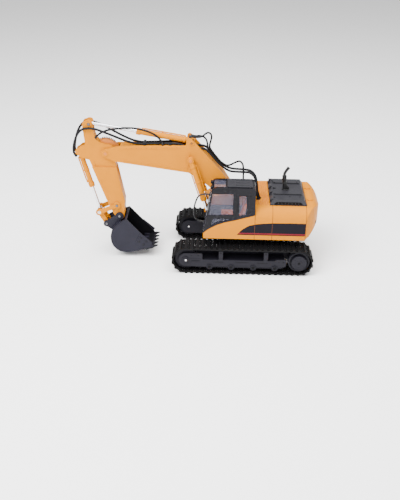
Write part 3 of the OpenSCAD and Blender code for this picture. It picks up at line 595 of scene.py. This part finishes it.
def add_deck():
    refine("rear_deck", yellow, bevel=0.3)
    ribs = Part()
    for k in range(-6, 30):
        x = -46 + k * 3.4
        path = [Vector((x + 0.35 * (y - 22) + 0.5 * math.sin(y * 0.9 + k), y, 124.15))
                for y in range(22, 46)]
        path = [p for p in path if -53 < p.x < 53 and not (12 < p.x < 32 and p.y < 33)]
        if len(path) > 5:
            ribs.tube(path, 0.5, 6)
    ribs.make("deck_ribs", "house", gear_yellow, slot="moulded_yellow")
    rims = Part()
    for x, y in ((22, 28), (28, 26)):
        turn = Matrix.Translation((x, y, 123.6))
        rims.loop([(0, 2.5), (0, 3.9), (1.0, 3.9), (1.5, 3.4), (1.5, 2.5)], turn, 28)
    rims.make("hose_grommets", "house", rubber, slot="hose_rubber")


def add_cover():
    refine("engine_cover", cover_grey, bevel=1.1, segments=4)
    dark, trim = Part(), Part()
    # near-black strips, marks and grille backs: painted shade of the cover's recesses and of the
    # gaps behind its louvres
    for x in (-26, 26):
        dark.box((x - 0.9, 56, 134.05), (x + 0.9, 103, 134.35), 0.3)
    for x in (-30, -3, 24):
        turn = Matrix.Translation((x, 56, 133.05))
        dark.prism(rounded([(-4.4, -2.6), (4.4, -2.6), (0, 3.8)], 0.8), 0, 0.35, turn)
    for x in (-38, 38):
        dark.prism(rounded([(-2.2, -1.4), (2.2, -1.4), (0, 2.2)], 0.5), 0, 0.3,
                   Matrix.Translation((x, 54, 133.05)))
    for x, y in ((34, 82), (-34, 82), (-34, 100), (34, 100)):
        dark.lathe([(0, 0), (0, 1.2), (0.25, 1.2), (0.25, 0)], Matrix.Translation((x, y, 133)), 16)
    for s in (1, -1):
        grille = rounded([(52, 126.2), (105, 126.2), (100, 130.6), (58, 130.6)], 1.4)
        tilt = Matrix.Translation((s * 53.4, 0, 0))
        dark.prism(grille, -0.5, 0.95, tilt @ ACROSS)
        for k in range(7):
            trim.side_box(s, 53, 54.5, (60 + k * 6, 126.8), (61.4 + k * 6, 130), 0.4)
    for x in (-40, -13, 13, 40):
        trim.box((x - 3.4, 46.2, 126), (x + 3.4, 48.4, 131.4), 0.9)
        trim.box((x - 1.6, 45.4, 127.4), (x + 1.6, 47, 130), 0.5)
    dark.make("cover_painted_shade", "house", black_and_painted_shade, 0.1, 1, slot="moulded_black")
    trim.make("cover_latches", "house", cover_grey, 0.35, 2, slot="moulded_black")


def add_exhaust():
    pipe = Part()
    pipe.tube(smooth([(0, 81, 133.2), (0, 79.5, 136), (0, 76, 140), (0, 74.4, 144)], 4),
              [1.9, 2.3, 2.7, 3.0, 3.2, 3.3, 3.4, 3.5, 3.6, 3.7, 3.7, 3.7, 3.7], 20)
    pipe.tube(smooth([(0, 74.8, 134), (0, 74.2, 144), (0, 73.2, 154), (0, 73, 163), (0, 75.5, 169),
                      (0, 80, 175.6)], 5),
              [3.9] * 6 + [3.8] * 4 + [4.2, 4.2, 3.4, 3.0, 2.8, 2.7, 2.7, 2.7, 2.7, 2.7, 2.7, 2.7,
                                       2.8, 2.9, 3.0, 2.8], 22)
    for z, r in ((146, 4.6), (158.5, 4.2)):
        pipe.lathe([(-0.9, 0), (-0.9, r), (-0.4, r + 0.3), (0.4, r + 0.3), (0.9, r), (0.9, 0)],
                   Matrix.Translation((0, 74 if z < 150 else 73.1, z)), 24)
    pipe.lathe([(0, 0), (0, 6.6), (1.1, 6.6), (1.6, 5.6), (1.6, 0)],
               Matrix.Translation((0, 76, 132.9)), 28)
    pipe.lathe([(0, 0), (0, 1.5), (1.5, 1.5), (2, 1), (2, 0)],
               place_along((0, -1, 0.3), (0, 70.6, 152)), 14)
    pipe.make("exhaust_stack", "house", rubber_black, 0.2, 2, replaces=["exhaust_pipe"],
              slot="moulded_black")


def add_tail():
    refine("counterweight", yellow, bevel=0.8, segments=3)
    lugs = Part()
    for x in (-26, 26):
        lugs.lathe([(0, 0), (0, 5.4), (0.6, 5.4), (1.4, 4.4), (2.6, 3.9), (3.2, 3.2), (3.2, 1.6),
                    (2.4, 1.2), (2.4, 0)], Matrix.Translation((x, 119, 123.6)), 28)
    lugs.make("lifting_lugs", "house", yellow, slot="moulded_yellow")
    trim = Part()
    for x in (-38, 38):
        trim.lathe([(0, 0), (0, 3.6), (0.7, 3.2), (0.7, 0)],
                   place_along((x / 118, 0.94, 0), (x, 20 + 117.7 * math.cos(math.asin(x / 118)),
                                                    86)), 24)
    trim.make("tail_plugs", "house", black_and_painted_shade, slot="moulded_black")


def add_cab():
    refine("cab_frame", gloss_black, bevel=1.0, segments=3)
    refine("cab_roof", cover_grey, bevel=0.6, segments=3)
    refine("cab_windows", glass, bevel=0.2)
    refine("operator_seat", orange, bevel=1.5, segments=3)
    dark, trim = Part(), Part()
    # dark strips painted on the roof as the shade in its grooves; a dark line below marks the door
    # seam
    for x in (40, 52, 64):
        dark.box((x + 0.1, -15.6, 165), (x + 2.3, 7.6, 165.15), 0.5)
    for outline in ([(-57, 152.9), (-19.8, 153.6), (-19.9, 111.9), (-63.6, 110.7)],
                    [(-10, 150.4), (3.3, 150.4), (5.2, 113), (-9.1, 109.7)]):
        path = rounded(outline, 1.4, 4)
        trim.tube([(HOUSE_HALF, *p) for p in path + path[:2]], 0.5, 8, ends=False)
    door = [(-15, 103.4), (-14.8, 158), (-17, 160.4), (-52, 160.4), (-57.6, 157), (-66.2, 106)]
    dark.tube([(HOUSE_HALF, *p) for p in door], 0.32, 8)
    trim.box((74.6, -16.6, 128), (75.6, -12.8, 133), 0.6)
    trim.tube(smooth([(74.8, -12, 118), (76.3, -12, 121), (76.3, -12, 133), (74.8, -12, 136)], 5),
              0.7, 10)
    for z in (116, 146):
        trim.box((74.4, 6.8, z), (75.9, 11.5, z + 3.4), 0.8)
    trim.lathe([(0, 0), (0, 2.4), (2.6, 2.4), (3.4, 1.4), (3.4, 0)],
               place_along((0.3, 0, 1), (71, 9, 163)), 24)
    for x in (42, 66):
        trim.lathe([(0, 0), (0, 3.1), (3.0, 3.4), (3.8, 2.8), (3.8, 0)],
                   place_along((0, -1, 0.15), (x, -56.5, 161.2)), 24)
    wiper = [(52, -63.2, 124), (50, -62.4, 131), (46, -61.2, 140)]
    trim.tube(wiper, 0.5, 8)
    dark.make("cab_groove_shade", "house", black_and_painted_shade, slot="moulded_black")
    trim.make("cab_trim", "house", gloss_black, 0.15, 1, slot="moulded_black")
    rail = Part()
    rail.tube(smooth([(35, -61.8, 134), (33, -72, 133.5), (33, -82, 129), (33, -88, 114),
                      (33, -90, 98), (33, -87, 86), (33, -80, 81), (35, -70, 80)], 6), 1.45, 14)
    for y, z in ((-62.4, 134), (-71.4, 80)):
        rail.lathe([(0, 0), (0, 2.6), (1.0, 2.6), (1.4, 2.0), (1.4, 0)],
                   place_along((0, -1, 0.1), (35, y + 0.6, z)), 20)
    rail.make("cab_handrail", "house", rubber_black, replaces=["handrail"], slot="moulded_black")
    inside = Part()
    inside.box((43, -22, 92), (63, -21, 98), 0.4)
    inside.slab([(-63, 89), (-63, 106.5), (-19, 106.5), (-19, 102), (-32, 98.5), (-46, 94)],
                71.4, 72.2)
    inside.disc((-46, 96), 6, 50, 51.4, 0.5)
    inside.tube([(52, -60, 71), (52, -50, 92), (52, -46, 97)], 1.6, 12)
    inside.loop([(-0.9, 6.6), (-0.9, 8.4), (0.9, 8.4), (0.9, 6.6)],
                place_along((0, 0.6, 1), (52, -46, 98)), 28)
    inside.make("cab_controls", "house", black_and_painted_shade, 0.2, 1, slot="moulded_black")


def add_house():
    refine("house_floor", frame_black)
    for node in ("boom_bracket", "left_side_panel", "right_side_panel"):
        refine(node, yellow, bevel=0.5, segments=3)
    add_side_trim()
    add_deck()
    add_cover()
    add_exhaust()
    add_tail()
    add_cab()
    screws = Part()
    for y in (-60, -20, 24, 60, 104):
        for x in (60, -60):
            screws.screw((x, y, 64.05), (0, 0, -1), 1.8, 0.8)
    for s in (-1, 1):
        for z in (82, 98):
            screws.hexagon((s * 18.46, -30, z), (s, 0, 0), 2, 1)
    screws.make("house_screws", "house", zinc, slot="zinc_screw")
    refine("battery_pack", wrap, bevel=2.0, segments=3)
    refine("circuit_board", board, bevel=0.2)
    refine("swing_motor", can)
    refine("swing_pinion", brass, bevel=0.1, segments=1)


# arm

# the linkage's pivots, as [y, z]
CYLINDER_FOOT, BOOM_HEAD = (-58, 73), (-97, 193)
STICK_PIVOT, STICK_BASE, STICK_HEAD = (-250, 199), (-96, 222), (-278, 251)
BUCKET_BASE, ROCKER_END, BUCKET_PIVOT = (-298, 199), (-265.5, 83.5), (-228, 77)


def on_line(p, q, distance, x=0.0, lift=0.0):
    """A point that distance along the line from p to q, lifted square to it. Both are [y, z]."""
    along = (Vector(q) - Vector(p)).normalized()
    point = Vector(p) + along * distance + Vector((-along.y, along.x)) * lift
    return Vector((x, point.x, point.y))


def add_cylinder(name, barrel_body, barrel_node, p, q, length, r, xs, pipe):
    """A barrel from its eye at p towards q, with its gland, end caps and side pipe."""
    refine(barrel_node, yellow, bevel=0.35)
    axis = on_line(p, q, 1) - on_line(p, q, 0)
    trim, metal = Part(), Part()
    for x in xs:
        for start, h, extra in ((length - 7.5, 6.5, 1.0), (11, 4, 0.5), (length * 0.52, 2.6, 0.6)):
            trim.loop([(0, r - 0.3), (0, r + extra - 0.3), (0.5, r + extra),
                       (h - 0.5, r + extra), (h, r + extra - 0.3), (h, r - 0.3)],
                      place_along(axis, on_line(p, q, start, x)), 28)
        metal.loop([(0, 3.2), (0, r - 0.5), (1.1, r - 0.7), (1.4, r - 1.4), (1.4, 3.2)],
                   place_along(axis, on_line(p, q, length - 0.4, x)), 28)
        trim.tube([on_line(p, q, 12, x, pipe * r * 0.8), on_line(p, q, 12.4, x, pipe * (r + 2)),
                   on_line(p, q, 15, x, pipe * (r + 2.2)),
                   on_line(p, q, length - 16, x, pipe * (r + 2.2)),
                   on_line(p, q, length - 13.4, x, pipe * (r + 2)),
                   on_line(p, q, length - 13, x, pipe * r * 0.8)], 1.0, 12)
    trim.make(name + "_collars", barrel_body, yellow, 0.1, 1, slot="moulded_yellow")
    metal.make(name + "_gland", barrel_body, steel, slot="bright_metal")


def add_pin_head(part, at, x, r, ring_r):
    """A round pin end in a raised ring, on both sides."""
    for s in (1, -1):
        turn = Matrix.Translation((s * x, *at)) @ (ACROSS if s > 0 else
                                                   Matrix.Scale(-1, 4, (1, 0, 0)) @ ACROSS)
        part.loop([(-0.3, r + 0.3), (-0.3, ring_r), (0.7, ring_r), (1.2, ring_r - 0.5),
                   (1.2, r + 0.3)], turn, 32)


def add_boom():
    refine("boom", yellow, bevel=0.9, segments=3)
    rings, pins, dark = Part(), Part(), Part()
    add_pin_head(rings, STICK_PIVOT, 14, 2.7, 5.2)
    add_pin_head(rings, STICK_BASE, 14, 1.9, 4.4)
    pins.disc(STICK_PIVOT, 2.6, 13, 15.1, 0.5, both=True)
    pins.disc(STICK_BASE, 1.8, 13, 15, 0.4, both=True)
    rings.make("boom_bosses", "boom", yellow, 0.15, 1, slot="moulded_yellow")
    pins.make("boom_pin_ends", "boom", brown_pin, slot="bright_metal")
    for s in (1, -1):
        for y in range(-212, -120, 9):
            z = 211.9 + (y + 231) * 4.7 / 124.4
            dark.disc((y, z - 3.2), 0.7, s * 13.9, s * 14.15, 0.05, 12)
    dark.make("boom_rivets", "boom", seam_brown, slot="moulded_yellow")
    ribs = Part()
    for s in (1, -1):
        low, high = sorted((s * 13.8, s * 14.5))
        ribs.slab(rounded([(-110, 172), (-104, 170.5), (-98, 205), (-104, 206)], 1.2), low, high)
        ribs.slab(rounded([(-222, 187), (-116, 172.4), (-116, 174), (-222, 188.6)], 0.6), low, high)
        ribs.slab(rounded([(-222, 207.4), (-116, 211.4), (-116, 213), (-222, 209)], 0.6), low, high)
    ribs.make("boom_flanges", "boom", yellow, 0.3, 2, slot="moulded_yellow")
    refine("boom_pins", gear_yellow, bevel=0.4, segments=2)
    add_cylinder("boom_cylinder", "boom_barrels", "boom_barrels", BOOM_HEAD, CYLINDER_FOOT, 80, 5,
                 (22, -22), 1)
    refine("boom_rods", steel, bevel=0.3)


def add_stick():
    refine("stick", yellow, bevel=0.9, segments=3)
    refine("stick_gear", gear_yellow, bevel=0.1, segments=1)
    teeth = Part()
    for k in range(13):
        a = math.radians(104 - k * 7.5)
        y, z = STICK_PIVOT[0] + 25.2 * math.cos(a), STICK_PIVOT[1] + 25.2 * math.sin(a)
        if z > 217:
            turn = Matrix.Translation((0, y, z)) @ Matrix.Rotation(a - math.pi / 2, 4, "X")
            teeth.prism([(-3.8, -0.9), (3.8, -0.9), (3.8, 0.9), (-3.8, 0.9)], -0.9, 0.5, turn)
    teeth.make("gear_teeth", "stick", seam_brown, 0.2, 1, slot="moulded_yellow")
    rings, flanges = Part(), Part()
    add_pin_head(rings, STICK_HEAD, 9, 2.8, 5.0)
    add_pin_head(rings, BUCKET_PIVOT, 12, 2.7, 5.4)
    rings.make("stick_bosses", "stick", yellow, 0.15, 1, slot="moulded_yellow")
    refine("stick_pins", pin_grey, bevel=0.5, segments=2)
    for s in (1, -1):
        flanges.slab(rounded([(-268, 152), (-262, 150.2), (-246, 108), (-251, 110)], 1.0),
                     *sorted((s * 11.8, s * 12.5)))
        flanges.slab(rounded([(-233, 160), (-231, 160), (-222.5, 114), (-224.5, 114)], 0.7),
                     *sorted((s * 11.8, s * 12.5)))
    flanges.make("stick_flanges", "stick", yellow, 0.3, 2, slot="moulded_yellow")
    refine("stick_rod", steel, bevel=0.3)
    refine("bucket_rod", steel, bevel=0.3)
    add_cylinder("stick_cylinder", "stick_barrel", "stick_barrel", STICK_BASE, STICK_HEAD, 100, 5.2,
                 (0,), -1)
    add_cylinder("bucket_cylinder", "bucket_barrel", "bucket_barrel", BUCKET_BASE, ROCKER_END, 72,
                 4.6, (0,), -1)
    refine("rocker", yellow, bevel=0.5)
    refine("bucket_link", yellow, bevel=0.5)
    caps = Part()
    for s in (1, -1):
        caps.hexagon((s * 15.4, *ROCKER_END), (s, 0, 0), 2.4, 1.3)
    caps.make("rocker_nuts", "rocker", zinc, slot="zinc_screw")


def add_bucket():
    shell = refine("bucket", bucket_grey, bevel=0.4)
    shell.data.materials.append(bucket_painted_shade)
    # faces inside the bowl take the darker copy: painted shade
    for face in shell.data.polygons:
        c = face.center / MM
        inward = face.normal.dot(Vector((0, -200 - c.y, 40 - c.z)).normalized())
        if (abs(c.x) < 28.5 and 11 < c.z < 77 and inward > 0.1 and abs(face.normal.x) < 0.5
                or 27 < abs(c.x) < 28.5 and face.normal.x * c.x < 0):
            face.material_index = 1
    refine("bucket_teeth", bucket_dark, bevel=0.5)
    refine("side_cutters", bucket_grey, bevel=0.4)
    refine("bucket_pin", pin_grey, bevel=0.4)
    bolts, welds = Part(), Part()
    for s in (1, -1):
        for y, z in ((-191, 33), (-183, 27), (-187, 41), (-178, 34)):
            bolts.hexagon((s * 31.5, y, z), (s, 0, 0), 1.5, 1.0)
        welds.tube(smooth([(s * 30, y, z) for y, z in
                           [(-221, 73), (-233, 63), (-241.2, 52.5), (-243.4, 42), (-242.4, 31.4),
                            (-239, 22.8), (-233.4, 16), (-225.8, 11.6), (-216, 10.1),
                            (-204, 11.6), (-186, 16.4)]], 3), 0.55, 8)
        welds.tube(smooth([(s * 16.1, *p) for p in [(-250, 55.6), (-243, 50), (-238, 57)]], 4),
                   0.5, 8)
    bolts.make("cutter_bolts", "bucket", bucket_dark, slot="bucket_metal")
    for a, b in (((-241.9, 27.5), (-236.2, 18)), ((-229.6, 12.6), (-219.4, 9.8))):
        along = (Vector(b) - Vector(a)).normalized()
        out = Vector((-along.y, along.x)) * (-0.25)
        outline = [Vector(a), Vector(b), Vector(b) - out * 4, Vector(a) - out * 4]
        welds.slab([tuple(v) for v in outline], -29.4, 29.4)
    for i in range(5):
        x = -27 + i * 13.5
        welds.box((x - 3.1, -186, 17.8), (x + 3.1, -176, 21.8), 0.9)
    welds.make("bucket_welds", "bucket", bucket_grey, 0.25, 2, slot="bucket_metal")


# hoses

HOSE_R, THIN_R, ARC_R = 2.1, 1.7, 1.75
BOOM_ROUTES = [
    [(5, -186, 215.8), (5, -165, 216.8), (6, -140, 218), (7.5, -122, 218.5), (7.5, -108,
     214), (7.5, -96, 211.6), (7.5, -84, 211.8), (7.5, -72, 209.6), (7.5, -65, 204), (7,
     -58, 195.8), (7, -49.5, 186), (7, -40, 177.2)],
    [(-5, -186, 215.8), (-5, -165, 216.8), (-6, -140, 218), (-7.5, -122, 218.5), (-7.5,
     -108, 214), (-7.5, -96, 211.6), (-7.5, -84, 211.8), (-6.5, -72, 210.2), (-5, -65, 205),
     (-3, -58, 197.2), (-2, -49.5, 187.6), (-2, -40, 179)],
    [(11.8, -100, 234.4), (11.8, -92, 233.2), (11, -84, 232.8), (10, -77, 234.6), (9, -72,
     238.6), (8, -67.5, 240.6), (6.5, -62.8, 238), (5, -61, 232), (4, -62.4, 224), (3, -64,
     216.5), (2.5, -63, 209.8), (2.5, -57.5, 201.4), (2.5, -50, 192), (2.5, -44, 185)],
    [(7.6, -97, 234.6), (8, -89, 234), (8.2, -82, 234.6), (7.8, -76, 233.2), (7, -71.2,
     228.8), (6.4, -68.6, 222), (6, -67.8, 215.4), (5.2, -66.6, 209.8)]]
DECK_ROUTES = [
    [(7, -40, 177.2), (8, -31.5, 171.6), (10, -23, 169.4), (13, -11, 170), (17, 0, 171.4),
     (20.5, 8, 172), (23.5, 14.8, 168.4), (26, 19.3, 161), (27.6, 21, 149.6), (28, 22.4,
     137), (28, 25, 127), (28, 26, 122)],
    [(-2, -40, 179), (-0.5, -31.5, 174), (3, -23, 172.4), (7.5, -11, 173.2), (12.5, 0,
     174.6), (17, 9, 174.8), (20, 16, 170.4), (22, 20.5, 162), (22.6, 22.5, 150), (22.4, 24,
     138), (22, 27, 128), (22, 28, 122)],
    [(2.5, -44, 185), (2.5, -35, 178.8), (4, -27.5, 179.2), (6.5, -20, 184), (9.5, -13.6,
     188.4), (13.5, -8.8, 190.2), (17.5, -4.8, 187), (20.5, -3.2, 181), (23, -2.8, 171),
     (24.8, -2.6, 160), (27, -2.4, 153), (30.2, -2.4, 150)]]
STICK_ROUTES = [
    [(-5, -186, 215.8), (-6, -201, 218.5), (-9, -216, 223.4), (-11.5, -234, 231.6), (-12.6,
     -251, 241), (-12.6, -262, 245.5), (-12.6, -273, 249.2), (-12.4, -283, 250.2), (-11.5,
     -291, 246.8), (-10, -298, 238.4), (-8.6, -303.2, 226), (-7.8, -306.4, 213), (-7.5,
     -307.6, 203), (-7.5, -307, 196.6), (-7.5, -304.4, 192)],
    [(5, -186, 215.8), (5.5, -201, 217.5), (8.5, -216, 223), (12.5, -232, 231), (15, -244,
     236.8), (15.2, -254, 240.6), (14.4, -264, 243.8), (13.4, -274, 245), (12.8, -284,
     244.2), (11.8, -292, 240.6), (10, -299.4, 231.6), (8.4, -304, 220.6), (7.7, -306.6,
     211), (7.5, -307.6, 203), (7.5, -307, 196.6), (7.5, -304.4, 192)]]
ARC_ROUTE = [(9, -147, 217.6), (9, -153, 227), (10, -165, 237), (11, -180, 243), (11, -195, 246),
             (12, -210, 247), (12.5, -226, 245.8), (12.5, -243, 242.6), (11.5, -253, 238.6), (9.6,
             -260.5, 233.4), (8, -265, 228.6)]


def add_hose(name, body, routes, radii, node=None, bend=None):
    """Tubes along routes. bend holds two bodies and two points, in metres; they are not used, and
    when bend is given the piece's transform is baked in.
    """
    piece = Part()
    for route, r in zip(routes, radii):
        piece.tube(smooth(route, 6), r, 16)
    made = piece.make(name, body, rubber, replaces=[node] if node else (), slot="hose_rubber")
    if bend:
        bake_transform(made)


def add_hoses():
    add_hose("hoses_on_boom", "boom", BOOM_ROUTES, (HOSE_R, HOSE_R, THIN_R, THIN_R),
             "boom_hoses")
    add_hose("hoses_to_deck", None, DECK_ROUTES, (HOSE_R, HOSE_R, THIN_R), "deck_hoses",
             ("boom", "house", (0.01, -0.036, 0.179), (0.024, 0.016, 0.130)))
    add_hose("hoses_to_stick", None, STICK_ROUTES, (HOSE_R, HOSE_R), "stick_hoses",
             ("boom", "stick", (0, -0.192, 0.217), (0, -0.280, 0.240)))
    add_hose("hose_arc", None, [ARC_ROUTE], (ARC_R,), None,
             ("boom", "stick", (0, -0.150, 0.232), (0, -0.258, 0.236)))
    clamps, ferrules = Part(), Part()
    clamps.box((-8.4, -183, 213.2), (8.4, -177, 215.4), 0.6)
    clamps.box((-8.4, -182.4, 215.2), (8.4, -177.6, 219.2), 1.6)
    clamps.box((-10.4, -137, 214.8), (10.4, -132, 216.4), 0.6)
    for s in (1, -1):
        clamps.side_box(s, 5.4, 10.4, (-137, 215.2), (-132, 219.4), 1.2)
    clamps.make("hose_clamps", "boom", gloss_black, 0.3, 2, slot="moulded_black")
    for at, axis in (((9, -147, 215.2), (0, -0.3, 1)), ((11.8, -101, 234.3), (0, 1, -0.12)),
                     ((7.6, -98, 234.6), (0, 1, -0.05))):
        ferrules.lathe([(0, 0), (0, 2.6), (1.6, 2.6), (1.6, 2.2), (5, 2.2), (5.4, 1.9), (5.4, 0)],
                       place_along(axis, at), 20)
    ferrules.make("hose_ends_boom", "boom", rubber_black, slot="moulded_black")
    deck_end = Part()
    deck_end.lathe([(0, 0), (0, 3.4), (1, 3.4), (1.2, 2.5), (4.4, 2.5), (4.8, 1.9), (4.8, 0)],
                   place_along((-1, 0, 0), (30.8, -2.4, 150)), 20)
    deck_end.make("hose_end_cab", "house", rubber_black, slot="moulded_black")
    ends = Part()
    for x in (-7.5, 7.5):
        ends.lathe([(0, 0), (0, 2.5), (2, 2.5), (2.2, 2.3), (4.6, 2.3), (5, 2.1), (5, 0)],
                   place_along((0, -0.62, 0.78), (x, -302.6, 190)), 20)
    ends.lathe([(0, 0), (0, 2.4), (1.6, 2.4), (1.8, 2.0), (5, 2.0), (5, 0)],
               place_along((0.2, 0.6, 1), (7.4, -267.4, 225.6)), 20)
    ends.make("hose_ends_stick", "stick", rubber_black, slot="moulded_black")


add_undercarriage()
add_house()
add_boom()
add_stick()
add_bucket()
add_hoses()
